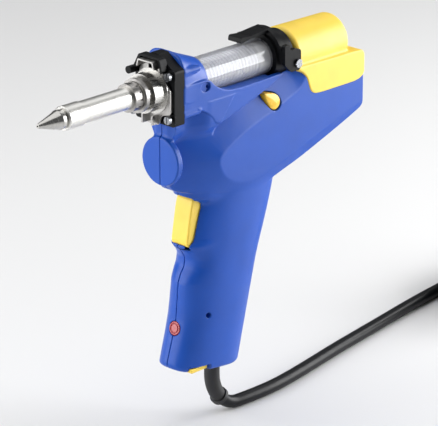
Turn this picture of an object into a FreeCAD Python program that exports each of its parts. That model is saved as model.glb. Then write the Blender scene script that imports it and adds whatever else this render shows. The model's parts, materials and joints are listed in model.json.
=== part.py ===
"""Pistol-style electric desoldering pump with a lead and mains plug.

Millimetres. X runs along the barrel from the nozzle (-X) to the rear (+X), Y is
across the tool, Z is up. The origin lies on the barrel axis, in the middle of the
collar that a tool stand holds. Y = 0 is the joint plane of the two housing halves.
"""
import FreeCAD
import Part
import math
import os

V = FreeCAD.Vector
X_DIR, Y_DIR, Z_DIR = V(1, 0, 0), V(0, 1, 0), V(0, 0, 1)

# ---- driving dimensions -------------------------------------------------------
wall = 2.0                      # moulded housing wall
gap = 0.3                       # clearance between pieces that move past each other
pin_fit = 0.05                  # radial clearance of a pin in its bore

nozzle_tip_x = -22.0            # barrel stations, front to back
cone_base_x = -8.3
collar_front_x, collar_rear_x = -5.5, 5.5
sleeve_rear_x = 41.0
nut_front_x, nut_rear_x = 38.5, 44.0
shield_front_x, shield_rear_x = 49.0, 57.0
plate_front_x, plate_rear_x = 59.0, 66.0
tube_front_x, tube_rear_x = 80.0, 137.0
holder_rear_x = 148.6
dome_front_x, dome_rear_x = 149.5, 191.0
cover_rear_x = 201.5

nozzle_bore_r = 0.5
cone_base_r = 5.1
shank_r = 3.0
collar_r = 6.3
sleeve_r, sleeve_wall = 5.8, 0.7
shield_r = 10.3
tube_r, tube_wall = 9.9, 1.3
dome_r, dome_z = 14.3, -1.7
cover_half_w = 16.0
cover_low_z, crease_z = -24.0, -6.0

core_half_w = 13.0              # half width of the housing's flat core
pod_half_w = 16.0               # half width at the raised oval pod
block_half_w = 14.0             # half width of the front block and flange
chin_r, chin_z, chin_front_x = 13.0, -39.5, 62.0

grip_lean = math.radians(14.0)  # the grip's foot leans towards the nozzle
grip_half_depth, grip_half_w = 24.0, 14.5
grip_mid = V(97.5, 0, -126.0)
grip_foot_z, grip_root_z = -165.0, -62.0

cord_d = 7.0
cord_r = cord_d / 2
cord_z = -190.0                 # centre line of the cord where it lies on the floor
boot_top = V(100.0, 0, -158.0)
boot_straight, boot_bend_r, boot_turn = 10.5, 22.0, math.radians(45.0)
boot_r, boot_lip_r = 4.2, 5.0

# route of the lead from the boot to the hank; the first point is the boot's mouth
cord_route = [
    (106.4, 0.0, -184.1), (112.3, 0.0, cord_z), (126.0, -1.2, cord_z), (147.0, -1.4, cord_z),
    (174.0, 2.6, cord_z), (208.0, 9.2, cord_z), (250.0, 15.8, cord_z), (290.0, 22.6, cord_z),
    (322.0, 26.5, cord_z),
]
# the put-away hank: an oblong ring of turns in line with the tool
coil_centre = V(364.0, 0.5, 0)
coil_half_run = 21.5            # from its centre to the centres of its rounded ends
coil_inner_r, coil_outer_r = 17.5, 31.5
# the lead's tail from the hank's top to the plug, from the hank's centre
tail_route = [(18.0, 23.0, -172.5), (40.0, 20.0, -169.5), (47.0, 0.0, -168.5), (38.0, -19.0, -166.5),
              (7.0, -21.0, -162.5)]
coil_low_z, coil_top_z = cord_z - cord_r, cord_z - cord_r + 3 * cord_d


# ---- helpers ------------------------------------------------------------------
def box(x0, x1, y0, y1, z0, z1):
    return Part.makeBox(x1 - x0, y1 - y0, z1 - z0, V(x0, y0, z0))


def rod(start, direction, radius, length):
    return Part.makeCylinder(radius, length, start, direction)


def ring(start, direction, outer, inner, length):
    return rod(start, direction, outer, length).cut(rod(start, direction, inner, length))


def barrel_ring(x0, x1, outer, inner):
    return ring(V(x0, 0, 0), X_DIR, outer, inner, x1 - x0)


def outline(points):
    """Closed wire through (point, corner radius) pairs, corners rounded by tangent arcs."""
    count = len(points)
    marks = []
    for i, (corner, radius) in enumerate(points):
        before, after = points[i - 1][0], points[(i + 1) % count][0]
        to_before = (before - corner).normalize()
        to_after = (after - corner).normalize()
        half = to_before.getAngle(to_after) / 2
        if radius == 0 or half > math.pi / 2 - 0.01:
            marks.append((corner, None, corner))
            continue
        reach = radius / math.tan(half)
        centre_way = (to_before + to_after).normalize()
        crown = corner + centre_way * (radius / math.sin(half) - radius)
        marks.append((corner + to_before * reach, crown, corner + to_after * reach))
    edges = []
    for i, (start, crown, end) in enumerate(marks):
        if crown is not None:
            edges.append(Part.Arc(start, crown, end).toShape())
        next_start = marks[(i + 1) % count][0]
        if (next_start - end).Length > 1e-6:
            edges.append(Part.LineSegment(end, next_start).toShape())
    return Part.Wire(edges)


def side_outline(points, y=0.0):
    return outline([(V(x, y, z), r) for x, z, r in points])


def side_prism(points, half_w, inset=0.0, round_r=0.0):
    """Profile in the XZ plane, both sides of Y = 0; inset shrinks it for a cavity."""
    wire = side_outline(points, -half_w)
    if inset:
        wire = wire.makeOffset2D(-inset)
    solid = Part.Face(wire).extrude(V(0, 2 * half_w, 0))
    if round_r:
        rims = [e for e in solid.Edges if abs(abs(e.CenterOfMass.y) - half_w) < 1e-6]
        solid = solid.makeFillet(round_r, rims)
    return solid


def front_outline(points, x):
    return outline([(V(x, y, z), r) for y, z, r in points])


def front_prism(points, x0, x1):
    return Part.Face(front_outline(points, x0)).extrude(V(x1 - x0, 0, 0))


def revolve(points):
    """Profile of (x, radius) points turned about the barrel axis."""
    wire = Part.makePolygon([V(x, 0, r) for x, r in points] + [V(points[0][0], 0, points[0][1])])
    return Part.Face(wire).revolve(V(0, 0, 0), X_DIR, 360)


def fuse_all(shapes):
    whole = shapes[0]
    for other in shapes[1:]:
        whole = whole.fuse(other)
    return whole.removeSplitter()


def cut_all(shape, tools):
    for tool in tools:
        shape = shape.cut(tool)
    return shape


def ellipse_wire(centre, half_x, half_y, tilt):
    """Ellipse across the leaning grip: its long axis is tipped by the lean."""
    long_way = V(math.cos(tilt), 0, -math.sin(tilt))
    axis = V(-math.sin(tilt), 0, -math.cos(tilt))
    curve = Part.Ellipse(V(0, 0, 0), half_x, half_y)
    shape = curve.toShape()
    place = FreeCAD.Placement(centre, FreeCAD.Rotation(long_way, axis.cross(long_way), axis, "XYZ"))
    shape.Placement = place
    return Part.Wire([shape])


def helix_spring(start, direction, coil_r, wire_r, pitch, height):
    helix = Part.makeHelix(pitch, height, coil_r)
    section = Part.Wire([Part.Circle(V(coil_r, 0, 0), Y_DIR, wire_r).toShape()])
    spring = Part.Wire(helix.Edges).makePipeShell([section], True, True)
    turn = FreeCAD.Rotation(Z_DIR, direction)
    spring.Placement = FreeCAD.Placement(start, turn)
    return spring


# ---- housing ------------------------------------------------------------------
def grip_axis_point(z):
    return grip_mid + V((z - grip_mid.z) * math.tan(grip_lean), 0, z - grip_mid.z)


# side profile of the core, (x, z, corner radius), clockwise from the plate's top
core_profile = [
    (66.0, -7.0, 0), (150.0, -7.0, 0), (158.0, -13.0, 3), (165.0, -24.0, 3),
    (cover_rear_x, -24.0, 2), (cover_rear_x, -38.5, 7), (167.0, -52.0, 60),
    (134.0, -67.0, 14), (126.0, -84.0, 12), (118.0, -112.0, 0), (92.0, -106.0, 0),
    (83.0, -96.0, 5), (84.0, -63.0, 0), (75.0, -57.0, 4), (66.0, -30.0, 0),
]
# lip under the trigger that the finger rests on
lip_profile = [
    (73.4, -91.5, 1.5), (74.6, -88.8, 0), (92.0, -88.8, 0), (92.0, -104.0, 0), (79.6, -99.0, 4),
]
lip_half_w = 9.5
# raised oval pod on each side
pod_profile = [
    (90.0, -45.0, 5), (99.0, -32.5, 10), (122.0, -27.0, 20), (154.0, -23.0, 6), (165.0, -24.0, 0),
    (cover_rear_x, -24.0, 2), (cover_rear_x, -38.5, 7), (167.0, -52.0, 60),
    (134.0, -67.0, 14), (118.0, -71.0, 10), (96.0, -56.0, 12),
]

def grip_form(inset):
    half_x, half_y = grip_half_depth - inset, grip_half_w - inset
    wires = []
    for z in (grip_foot_z + 2.0 + inset, -150.0, -126.0, -104.0, grip_root_z):
        centre = grip_axis_point(z)
        wires.append(ellipse_wire(centre, half_x, half_y, grip_lean))
    form = Part.makeLoft(wires, True, False)
    return form


def hood_form(inset):
    """Arched hood from the flange back to the filter tube's rim."""
    sections = ((66.0, 14.0, 19.3), (74.0, 13.8, 17.0), (81.0, 12.6, 13.6), (86.0, 11.4, 11.4))
    wires = []
    for x, half_w, top in sections:
        a, b, foot = half_w - inset, top - inset, -12.0
        arc = Part.Arc(V(x, -a, 0), V(x, 0, b), V(x, a, 0)).toShape()
        if b > a + 0.5:
            ellipse = Part.Ellipse(V(0, 0, 0), b, a)
            ellipse_arc = Part.ArcOfEllipse(ellipse, -math.pi / 2, math.pi / 2)
            arc = ellipse_arc.toShape()
            arc.Placement = FreeCAD.Placement(V(x, 0, 0), FreeCAD.Rotation(Z_DIR, Y_DIR, X_DIR, "XYZ"))
        ends = [arc.Vertexes[0].Point, arc.Vertexes[-1].Point]
        low = [V(x, p.y, foot) for p in ends]
        edges = [arc, Part.LineSegment(ends[1], low[1]).toShape(),
                 Part.LineSegment(low[1], low[0]).toShape(), Part.LineSegment(low[0], ends[0]).toShape()]
        wires.append(Part.Wire(edges))
    return Part.makeLoft(wires, True, True)


def chin_form(inset):
    radius = chin_r - inset
    start = V(chin_front_x + inset, 0, chin_z)
    return rod(start, X_DIR, radius, 26.0 - inset)


def housing_form(inset):
    core = side_prism(core_profile, core_half_w - inset, inset)
    pod = side_prism(pod_profile, pod_half_w - inset, inset)
    block = box(66.0 + inset, 92.0 - inset, -block_half_w + inset, block_half_w - inset,
                -20.0 + inset, -5.0)
    lip = side_prism(lip_profile, lip_half_w - inset, inset)
    return fuse_all([core, pod, block, hood_form(inset), chin_form(inset), grip_form(inset), lip])


# (x, z) of the screws that join the two halves
screw_places = [(78.0, -50.0), (99.0, -92.0), (112.0, -112.0), (85.0, -150.0), (163.0, -44.0), (188.0, -32.0)]
screw_r, screw_head_r, boss_r = 1.4, 2.6, 3.4
screw_end_y, head_y = 7.0, 8.0

trigger_pin_at = V(89.0, 0, -64.5)
trigger_half_w = 6.0
button_at = V(132.5, 0, -21.5)
lens_at, lens_r = V(70.8, 0, -134.5), 4.2
trimmer_at = V(84.2, 0, -127.0)
lever_pivot = V(146.5, 0, -2.3)
front_normal = V(-math.cos(grip_lean), 0, math.sin(grip_lean))


def teardrop(centre, y, long_r, reach, tilt):
    """Rounded drop whose point looks forward and up."""
    way = V(-math.cos(tilt), 0, math.sin(tilt))
    side = V(math.sin(tilt), 0, math.cos(tilt))
    c = centre + V(0, y, 0)
    tip = c + way * reach
    bend = math.acos(long_r / reach)
    p1 = c + way * (long_r * math.cos(bend)) + side * (long_r * math.sin(bend))
    p2 = c + way * (long_r * math.cos(bend)) - side * (long_r * math.sin(bend))
    back = c - way * long_r
    edges = [Part.LineSegment(tip, p1).toShape(), Part.Arc(p1, back, p2).toShape(),
             Part.LineSegment(p2, tip).toShape()]
    return Part.Wire(edges)


def drop_prism(y0, y1, grow):
    wire = teardrop(button_at, y0, 4.0 + grow, 8.5 + grow * 1.6, math.radians(32))
    return Part.Face(wire).extrude(V(0, y1 - y0, 0))


def housing():
    outer = housing_form(0.0)
    shell = outer.cut(housing_form(wall))
    bosses = []
    for x, z in screw_places:
        bosses.append(rod(V(x, -20, z), Y_DIR, boss_r, 40))
    pin_boss = rod(trigger_pin_at - V(0, 20, 0), Y_DIR, 3.2, 20 - trigger_half_w - gap)
    pin_boss = pin_boss.fuse(rod(trigger_pin_at + V(0, trigger_half_w + gap, 0), Y_DIR, 3.2, 20))
    bosses.append(pin_boss)
    shell = shell.fuse(fuse_all(bosses).common(outer))
    holes = [
        box(60, 87.0, -trigger_half_w - gap, trigger_half_w + gap, -88.8, -62.0),
        box(60, 96.0, -trigger_half_w - gap, trigger_half_w + gap, -88.0, -66.5),
        rod(V(60, 0, 0), X_DIR, 10.2, 90),
        rod(V(84.0, 0, 0), X_DIR, tube_r + gap, 70),
        cover_form(0.0),
        rod(V(130.0, 0, 0), X_DIR, 12.8, 30),
        box(84.0, 150.0, -tube_r + 2, tube_r - 2, -8.0, 12),
        rod(trigger_pin_at - V(0, 9.5, 0), Y_DIR, 1.5, 19),
        rod(lens_at - front_normal * 6, front_normal, lens_r, 14),
        rod(boot_top + V(0, 0, 1), V(0, 0, -1), boot_r + 0.3, 20),
        rod(trimmer_at - V(0, 16, 0), Y_DIR, 1.4, 9),
        drop_prism(-20, -8, 0.35),
        box(84.0, 93.0, -16, -9.0, -170, -160.5),
        box(84.7, 92.3, -9.6, -5.7, -162.7, -160.5),
        box(165.0, 198.0, -10, 10, -27, -20),
    ]
    for y, z, r in flange_screw_places:
        holes.append(rod(V(60, y, z), X_DIR, r + 0.15, 17.5))
    for x, z in screw_places:
        holes.append(rod(V(x, -screw_end_y, z), Y_DIR, screw_r, 2 * screw_end_y + 3))
        holes.append(rod(V(x, head_y, z), Y_DIR, screw_head_r + 0.1, 12))
    shell = cut_all(shell, holes)
    right = shell.common(box(40, 240, -40, 0, -200, 60))
    left = shell.common(box(40, 240, 0, 40, -200, 60))
    return biggest(right), biggest(left)


def biggest(shape):
    return max(shape.Solids, key=lambda s: s.Volume)


def housing_screws():
    screws = []
    for x, z in screw_places:
        shaft = rod(V(x, -screw_end_y, z), Y_DIR, screw_r, screw_end_y + head_y)
        head = rod(V(x, head_y, z), Y_DIR, screw_head_r, 1.8)
        slot = fuse_all([box(x - 1.6, x + 1.6, head_y + 0.9, head_y + 3, z - 0.3, z + 0.3),
                         box(x - 0.3, x + 0.3, head_y + 0.9, head_y + 3, z - 1.6, z + 1.6)])
        screws.append(shaft.fuse(head).cut(slot))
    return Part.makeCompound(screws)


# ---- rear cover over the pump ---------------------------------------------------
cover_profile = [
    (dome_front_x, -7.0, 0), (158.0, -13.0, 3), (165.0, cover_low_z, 3), (cover_rear_x, cover_low_z, 0),
    (cover_rear_x - 0.5, crease_z - 1.0, 4), (dome_front_x, crease_z, 0),
]


def cover_form(inset):
    dome_end = dome_rear_x - inset
    start = V(dome_front_x + inset, 0, dome_z)
    length = dome_end - start.x
    dome = Part.makeCone(dome_r + 0.4 - inset, dome_r - 0.3 - inset, length, start, X_DIR)
    if inset == 0:
        dome = dome.common(box(140, 220, -30, 30, crease_z - 2.0, 30))
        rear_rim = [e for e in dome.Edges if abs(e.CenterOfMass.x - dome_end) < 1e-3 and e.CenterOfMass.z > 0]
        dome = dome.makeFillet(3.0, rear_rim)
    else:
        dome = dome.common(box(140, 220, -30, 30, crease_z - 2.0, 30).fuse(box(159.5, 220, -30, 30, -12, 30)))
    skirt = side_prism(cover_profile, cover_half_w - inset, inset, 0.0)
    return fuse_all([dome, skirt])


def rear_cover():
    inner = cover_form(wall)
    drop = box(140, cover_rear_x - wall, -cover_half_w + wall, cover_half_w - wall, cover_low_z - 1, -20)
    drop = drop.common(box(166.5, 240, -30, 30, -30, 0))
    shell = cover_form(0.0).cut(inner).cut(drop)
    window = rod(V(dome_front_x - 2, 0, 0), X_DIR, 6.5, 8)
    return biggest(shell.cut(window))


# ---- hot end --------------------------------------------------------------------
def nozzle():
    body = revolve([
        (nozzle_tip_x, 0.0), (nozzle_tip_x, 1.1), (cone_base_x - 0.8, cone_base_r - 0.3),
        (cone_base_x - 0.4, cone_base_r), (cone_base_x + 1.4, cone_base_r), (cone_base_x + 1.8, 4.6),
        (collar_front_x + 0.6, 4.6), (collar_front_x + 0.6, shank_r), (22.0, shank_r), (22.0, 0.0),
    ])
    return body.cut(rod(V(nozzle_tip_x - 1, 0, 0), X_DIR, nozzle_bore_r, 6)).cut(
        rod(V(nozzle_tip_x + 3, 0, 0), X_DIR, 1.3, 50))


def nozzle_collar():
    collar = revolve([
        (collar_front_x, 4.7), (collar_front_x, collar_r - 0.5), (collar_front_x + 0.5, collar_r),
        (collar_rear_x, collar_r), (collar_rear_x, sleeve_r - sleeve_wall),
        (collar_front_x + 2, sleeve_r - sleeve_wall),
        (collar_front_x + 2, 4.7),
    ])
    return collar


def heater_sleeve():
    return barrel_ring(collar_rear_x, sleeve_rear_x, sleeve_r, sleeve_r - sleeve_wall)


def heater_core():
    return barrel_ring(-3.0, 46.0, 4.7, shank_r + pin_fit)


def suction_pipe():
    return barrel_ring(22.0, 82.0, 2.0, 1.3)


def retaining_nut():
    nut = barrel_ring(nut_front_x, nut_rear_x, 7.4, 4.9)
    nut = nut.cut(barrel_ring(nut_front_x, sleeve_rear_x, sleeve_r, 4.0))
    notches = []
    for i in range(12):
        turn = FreeCAD.Rotation(X_DIR, 30 * i)
        notch = box(nut_front_x + 1, nut_rear_x - 1, -0.5, 0.5, 6.9, 8)
        notch.Placement = FreeCAD.Placement(V(0, 0, 0), turn)
        notches.append(notch)
    return cut_all(nut, notches)


def clip_spring():
    """Sprung steel clip that hugs the back of the nut, open at the lower left."""
    hoop = barrel_ring(nut_rear_x + 0.4, nut_rear_x + 2.6, 9.0, 7.6)
    opening = box(nut_rear_x, nut_rear_x + 4, 2.0, 12, -12, 1.0)
    feet = []
    for angle in (70, 190, 300):
        foot = box(nut_rear_x + 2.0, shield_front_x, -1.2, 1.2, 7.6, 8.6)
        foot.Placement = FreeCAD.Placement(V(0, 0, 0), FreeCAD.Rotation(X_DIR, angle))
        feet.append(foot)
    return fuse_all([hoop.cut(opening)] + feet)


def heat_shield():
    cup = barrel_ring(shield_front_x, shield_rear_x, shield_r, shield_r - 0.8)
    face = barrel_ring(shield_front_x, shield_front_x + 0.8, shield_r, 7.0)
    back = barrel_ring(shield_rear_x - 0.8, shield_rear_x, shield_r + 1.6, 4.8)
    return fuse_all([cup, face, back])


def ceramic_spacer():
    return barrel_ring(46.0, 66.0, 4.7, 2.05).fuse(barrel_ring(66.0, 70.0, 9.6, 2.05))


def steel_bracket():
    plate = front_prism([(-12.6, -10.5, 1), (-12.6, 2.0, 1), (-8.2, 8.5, 2), (-6.0, 17.2, 2), (5.5, 17.2, 3),
                         (9.0, 9.5, 2), (9.0, -12.0, 2), (4.0, -17.6, 1), (-4.0, -17.6, 1), (-7.0, -12.0, 1)],
                        shield_rear_x, shield_rear_x + 1.0)
    plate = plate.cut(rod(V(50, 0, 0), X_DIR, 5.2, 20))
    window = [(-4.0, 9.5, 0.5), (-4.0, 15.0, 1.5), (2.5, 15.0, 1.5), (2.5, 9.5, 0.5)]
    plate = plate.cut(front_prism(window, 50, 60))
    lips = [
        front_prism([(-6.2, 13.0, 0), (-5.2, 16.9, 1), (5.4, 16.9, 1), (6.4, 13.0, 0), (5.6, 13.0, 0),
                     (4.8, 16.1, 0.4), (-4.6, 16.1, 0.4), (-5.4, 13.0, 0)],
                    shield_rear_x - 5.0, shield_rear_x),
        box(shield_rear_x - 4.0, shield_rear_x, -4.0, -3.0, -17.0, -12.2),
        box(shield_rear_x - 4.0, shield_rear_x, 3.0, 4.0, -17.0, -12.2),
        box(shield_rear_x + 1.0, shield_rear_x + 2.0, -12.4, -11.6, -9.5, 1.0),
    ]
    return fuse_all([plate] + lips)


plate_outline = [
    (-14.0, -17.5, 1.5), (-14.0, 11.7, 2.0), (-2.6, 19.2, 2.0), (2.6, 19.2, 2.0), (14.0, 11.7, 2.0),
    (14.0, -17.5, 1.5),
]


def flange_plate():
    plate = front_prism(plate_outline, plate_front_x, plate_rear_x)
    brow_line = [(-10.0, 11.0, 1), (-7.5, 18.8, 2), (7.0, 18.8, 2), (11.2, 11.0, 1)]
    brow = front_prism(brow_line, 54.5, plate_front_x)
    brow = brow.cut(front_prism([(-8.8, 9.0, 0), (-6.4, 17.6, 1), (6.0, 17.6, 1), (9.6, 9.0, 0)], 50.0, 70.0))
    ear_line = [(-15.2, 7.0, 1), (-15.2, 12.6, 1.5), (-9.8, 12.6, 1), (-9.8, 7.0, 1)]
    ear = front_prism(ear_line, 57.5 + 0.6, plate_front_x)
    low_ear = front_prism([(-15.0, -15.6, 1), (-15.0, -10.6, 1), (-9.4, -10.6, 1), (-9.4, -15.6, 1)],
                          57.5 + 0.6, plate_front_x)
    knob = rod(V(52.0, 12.2, 9.2), X_DIR, 2.0, plate_front_x - 52.0)
    rim = fuse_all([plate, brow, ear, low_ear, knob])
    seats = [rod(V(40, y, z), X_DIR, r, 40) for y, z, r in flange_screw_places]
    return cut_all(rim, [rod(V(50, 0, 0), X_DIR, 9.6, 30)] + seats)


flange_screw_places = [(-12.4, 9.8, 1.2), (-12.4, -13.0, 1.2), (12.4, -13.0, 1.2)]


def flange_screws():
    screws = []
    for y, z, r in flange_screw_places:
        shaft = rod(V(56.2, y, z), X_DIR, r, 21.0)
        head = rod(V(54.8, y, z), X_DIR, 2.1, 1.6)
        slot = box(54.0, 55.3, y - 0.3, y + 0.3, z - 3, z + 3)
        screws.append(shaft.fuse(head).cut(slot))
    return Part.makeCompound(screws)


# ---- solder filter ----------------------------------------------------------------
def filter_tube():
    return barrel_ring(tube_front_x, tube_rear_x, tube_r, tube_r - tube_wall)


def front_seal():
    cup = barrel_ring(76.0, 84.0, tube_r - tube_wall - 0.05, 2.0 + pin_fit)
    lip = barrel_ring(76.0, tube_front_x, 10.2, 6.0)
    return cup.fuse(lip).removeSplitter()


def solder_coil():
    """Open steel winding that catches the solder inside the tube."""
    return helix_spring(V(90.0, 0, 0), X_DIR, 7.6, 0.45, 2.4, 36.0)


def filter_cartridge():
    return barrel_ring(127.5, 135.0, 8.2, 0.0 + 1.0)


def rear_seal():
    return barrel_ring(tube_rear_x, tube_rear_x + 2.5, tube_r, 3.0)


def tube_holder():
    """Cup around the rear of the tube, with a nipple for the vacuum hose."""
    cup = revolve([
        (135.4, tube_r + 0.05), (135.4, 12.6), (holder_rear_x, 12.6), (holder_rear_x, 1.3), (153.0, 1.3),
        (153.0, 0.8), (tube_rear_x + 2.5, 0.8), (tube_rear_x + 2.5, tube_r + 0.05),
    ])
    for side in (-1, 1):
        way = V(0, side, 0)
        cup = cup.fuse(rod(lever_pivot + way * 10.0 - V(0.9, 0, 0), way, 3.0, 4.8))
    for side in (-1, 1):
        way = V(0, side, 0)
        cup = cup.cut(rod(lever_pivot + way * 9.0, way, 1.5, 10))
    return cup


def lever_pivots():
    """Two shoulder screws, one on each side."""
    pins = []
    for side in (-1, 1):
        way = V(0, side, 0)
        shaft = rod(lever_pivot + way * 9.0, way, 1.5, 8.7)
        head = rod(lever_pivot + way * 17.7, way, 2.3, 1.0)
        inner, outer = sorted((side * 18.2, side * 19))
        slot = box(lever_pivot.x - 3, lever_pivot.x + 3, inner, outer,
                   lever_pivot.z - 0.3, lever_pivot.z + 0.3)
        pins.append(shaft.fuse(head).cut(slot))
    return Part.makeCompound(pins)


cheek_profile = [
    (136.8, -1.5, 1), (141.5, -6.2, 2), (149.0, -6.2, 2), (149.0, 4.6, 2), (144.0, 6.4, 2), (140.4, 3.5, 2),
    (140.4, 9.0, 1), (136.8, 9.0, 1),
]


def release_lever():
    arch = barrel_ring(136.8, 140.4, 15.8, 13.1).common(box(130, 150, -20, 20, -0.5, 20))
    cheek = side_prism(cheek_profile, 17.4).cut(box(130, 155, -15.0, 15.0, -10, 20))
    links = side_prism([(136.8, -0.5, 0), (140.4, -0.5, 0), (140.4, 5.0, 0), (136.8, 5.0, 0)], 17.4)
    links = links.cut(box(130, 155, -13.2, 13.2, -10, 20))
    arm_points = [(116.6, 11.4, 1), (121.5, 12.6, 3), (128.0, 12.9, 3), (137.5, 13.2, 0), (140.4, 14.0, 0),
                  (139.5, 15.7, 0), (133.0, 15.2, 4), (124.0, 14.4, 4), (117.4, 15.0, 1.2)]
    arm = side_prism(arm_points, 4.6)
    lever = fuse_all([arch, cheek, links, arm])
    lever = lever.cut(rod(lever_pivot - V(0, 20, 0), Y_DIR, 1.5 + pin_fit, 40))
    return lever


# ---- trigger and switch -------------------------------------------------------------
trigger_profile = [
    (80.8, -67.0, 2), (75.3, -86.8, 2), (84.0, -87.2, 2), (88.5, -82.0, 2),
    (90.2, -76.5, 1), (90.2, -74.0, 1),
    (92.0, -66.6, 1), (92.2, -63.5, 2), (89.0, -61.4, 2), (86.0, -63.0, 2),
]


def trigger():
    body = side_prism(trigger_profile, trigger_half_w)
    rims = [e for e in body.Edges
            if abs(abs(e.CenterOfMass.y) - trigger_half_w) < 1e-6 and e.CenterOfMass.x < 84]
    body = body.makeFillet(1.0, rims)
    body = body.cut(rod(trigger_pin_at - V(0, 10, 0), Y_DIR, 1.5 + pin_fit, 20))
    pocket = rod(trigger_pin_at - V(0, 2.4, 0), Y_DIR, 3.9, 4.8)
    slot = box(86.0, 95.0, -2.4, 2.4, -70.5, -60.0)
    return biggest(cut_all(body, [pocket, slot]))


def trigger_pin():
    return rod(trigger_pin_at - V(0, 9.5, 0), Y_DIR, 1.5, 19)


def trigger_spring():
    coil = helix_spring(trigger_pin_at - V(0, 1.6, 0), Y_DIR, 2.3, 0.35, 0.9, 3.2)
    return coil


switch_front_x, plunger_r, plunger_tip_x = 93.5, 1.2, 90.6


def micro_switch():
    body = box(switch_front_x, 100.0, -3.2, 3.2, -86.0, -66.0)
    body = body.makeFillet(0.5, [e for e in body.Edges if abs(e.CenterOfMass.x - switch_front_x) > 0.1])
    legs = [box(100.0, 104.0, -0.3, 0.3, z - 1.2, z + 1.2) for z in (-83.0, -76.0, -69.0)]
    body = fuse_all([body] + legs)
    return body.cut(rod(V(switch_front_x - 1, 0, -75.2), X_DIR, plunger_r + pin_fit, 4.6))


def switch_plunger():
    return rod(V(plunger_tip_x, 0, -75.2), X_DIR, plunger_r, 5.0)


# ---- side button --------------------------------------------------------------------
def side_button():
    cap = drop_prism(-14.6, -9.5, 0.0)
    flange = drop_prism(-10.8, -9.2, 1.2)
    return cap.fuse(flange).removeSplitter()


# ---- vacuum pump --------------------------------------------------------------------
motor_front_x, motor_rear_x, motor_r = 165.0, 182.0, 9.5
crank_throw, crank_pin_r = 1.0, 1.5


def pump_motor():
    can = rod(V(motor_front_x, 0, 0), X_DIR, motor_r, motor_rear_x - motor_front_x)
    can = can.common(box(150, 200, -20, 20, -8.5, 8.5))
    boss = rod(V(motor_rear_x, 0, 0), X_DIR, 3.0, 1.0)
    return can.fuse(boss).cut(rod(V(motor_rear_x - 8, 0, 0), X_DIR, 1.0 + pin_fit, 12)).removeSplitter()


def motor_crank():
    shaft = rod(V(motor_rear_x - 6, 0, 0), X_DIR, 1.0, 7.5)
    disc = rod(V(motor_rear_x + 1.3, 0, 0), X_DIR, 4.5, 1.7)
    pin = rod(V(motor_rear_x + 3.0, 0, crank_throw), X_DIR, crank_pin_r, 3.2)
    weight = rod(V(motor_rear_x + 1.3, 0, 0), X_DIR, 5.6, 1.7).common(box(150, 200, -6, 6, -6, -2.0))
    return fuse_all([shaft, disc, pin, weight])


def pump_rod():
    """Yoke around the crank pin with a stem down to the diaphragm."""
    x0, x1 = motor_rear_x + 3.4, motor_rear_x + 5.8
    eye = ring(V(x0, 0, 0), X_DIR, 5.8, crank_pin_r + 2 * crank_throw + gap, x1 - x0)
    stem = box(x0, x1, -1.5, 1.5, -12.5, -5.0)
    foot = rod(V((x0 + x1) / 2, 0, -13.0), Z_DIR, 3.0, 1.0)
    return fuse_all([eye, stem, foot])


def pump_diaphragm():
    x = motor_rear_x + 4.6
    return Part.makeCone(8.5, 4.0, 3.0, V(x, 0, -16.0), Z_DIR)


def pump_head():
    base = box(174.5, 196.5, -9.8, 9.8, -24.6, -16.0)
    base = base.makeFillet(1.5, [e for e in base.Edges if abs(e.CenterOfMass.z + 20.3) < 0.1])
    return base.fuse(rod(V(169.5, 0, -18.2), X_DIR, 1.3, 6.0)).removeSplitter()


hose_points = [(149.0, 0, 0), (160.8, 0, 0), (162.5, 0, -12.0), (167.0, 0, -18.2), (174.0, 0, -18.2)]


def vacuum_hose():
    return soft_line(hose_points, 2.0, 1.34)


def soft_line(points, outer_r, inner_r=0.0):
    """Hose or wire along straight runs and tangent arcs."""
    path = cord_path(points)[0]
    start = V(*points[0])
    way = (V(*points[1]) - start).normalize()
    solids = []
    for radius in (outer_r, inner_r):
        if radius:
            section = Part.Wire([Part.Circle(start, way, radius).toShape()])
            solids.append(path.makePipeShell([section], True, True))
    return solids[0].cut(solids[1]) if inner_r else solids[0]


# ---- electrics -----------------------------------------------------------------------
def circuit_board():
    board = box(104.0, 156.0, 3.4, 5.0, -46.0, -33.0)
    parts = [box(110, 120, 5.0, 9.5, -44, -36), rod(V(130, 5, -40), Y_DIR, 3.2, 5.5),
             box(138, 150, 5.0, 8.0, -43, -36), box(122, 126, 5.0, 7.0, -38, -34)]
    return fuse_all([board] + parts)


heater_wire_route = [(70.3, -6.0), (73.2, -6.3), (74.0, -13.5), (80.0, -24.0), (94.0, -33.0), (104.0, -37.0)]
mains_wire_route = [(100.0, -155.9), (100.6, -150.0), (104.0, -140.0), (107.0, -126.0), (105.0, -110.0),
                    (107.0, -92.0), (113.0, -70.0), (114.0, -46.0)]


def wire_pair(route, y_places):
    return Part.makeCompound([soft_line([(x, y, z) for x, z in route], 0.9) for y in y_places])


def heater_wires():
    return wire_pair(heater_wire_route, (-1.3, 1.3))


def mains_wires():
    return wire_pair(mains_wire_route, (-1.3, 1.3))


def indicator_lens():
    body = rod(lens_at - front_normal * 4.0, front_normal, lens_r - 0.05, 4.6)
    dome = Part.makeSphere(9.0, lens_at - front_normal * 7.6)
    cap = dome.common(rod(lens_at + front_normal * 0.5, front_normal, lens_r - 0.05, 3.0))
    return fuse_all([body, cap])


def trimmer():
    knob = rod(trimmer_at - V(0, 9.1, 0), Y_DIR, 2.2, 1.1)
    stem = rod(trimmer_at - V(0, 8.0, 0), Y_DIR, 1.0, 2.4)
    slot = box(trimmer_at.x - 3, trimmer_at.x + 3, -9.6, -8.6, trimmer_at.z - 0.3, trimmer_at.z + 0.3)
    return knob.fuse(stem).cut(slot).removeSplitter()


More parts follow.
